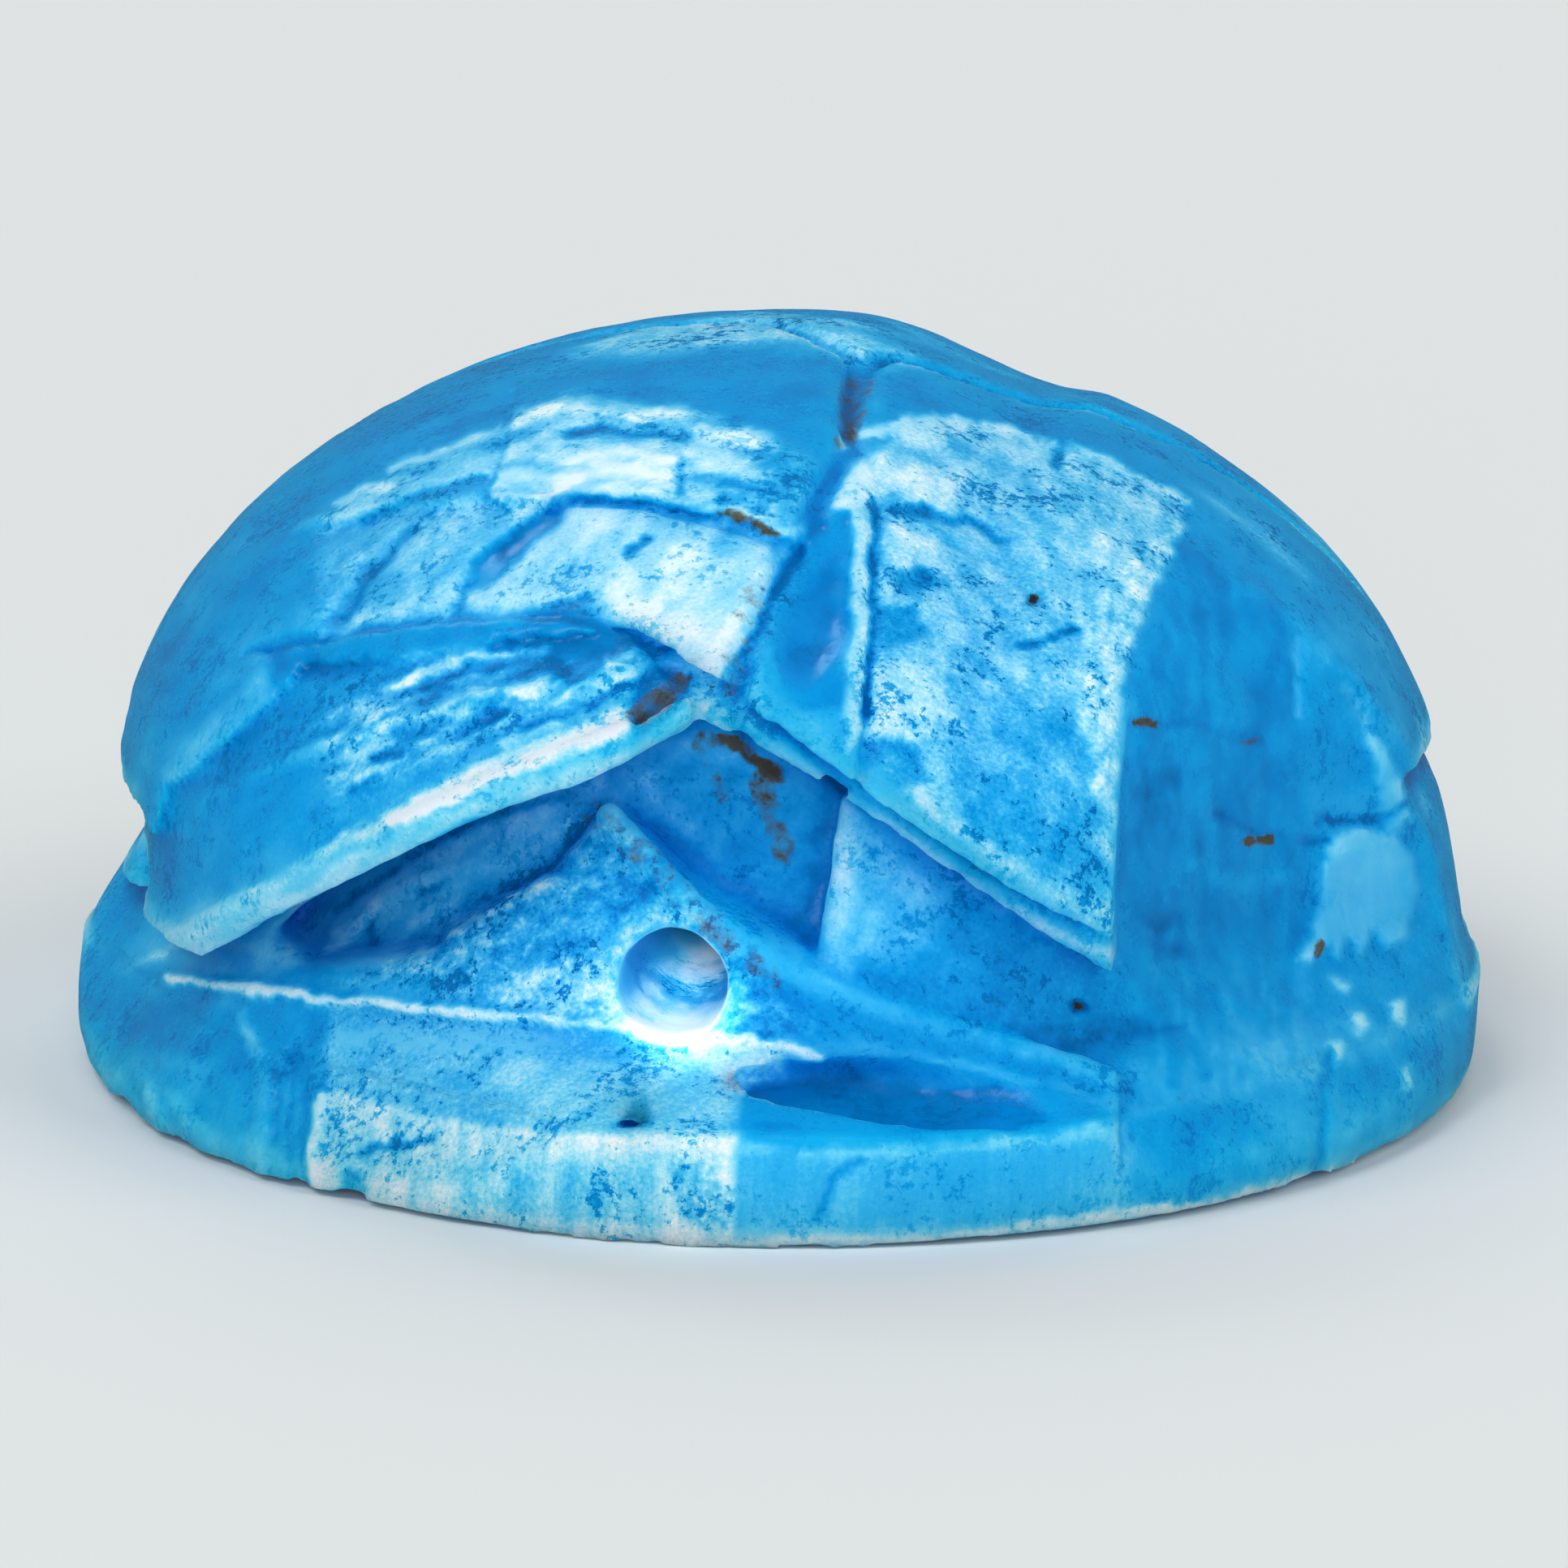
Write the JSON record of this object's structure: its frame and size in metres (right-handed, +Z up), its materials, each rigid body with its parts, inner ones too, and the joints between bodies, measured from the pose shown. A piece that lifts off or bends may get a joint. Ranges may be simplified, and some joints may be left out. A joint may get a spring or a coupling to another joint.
{
  "type": "scarab amulet",
  "caption": "Small beetle-shaped amulet carved in translucent sky-blue stone, on an oval plinth, with a lengthwise threading hole, worn and flaked",
  "frame": {"origin": "middle of the flat oval underside", "axes": "+Z up, +Y towards the head, -Y towards the tail, +X to the right as seen from the tail"},
  "size_m": [0.013, 0.0176, 0.0068],
  "materials": {
    "blue_stone": "ground and glossy, partly frosted"
  },
  "bodies": {
    "root": {"scarab": "blue_stone"}
  },
  "joints": []
}
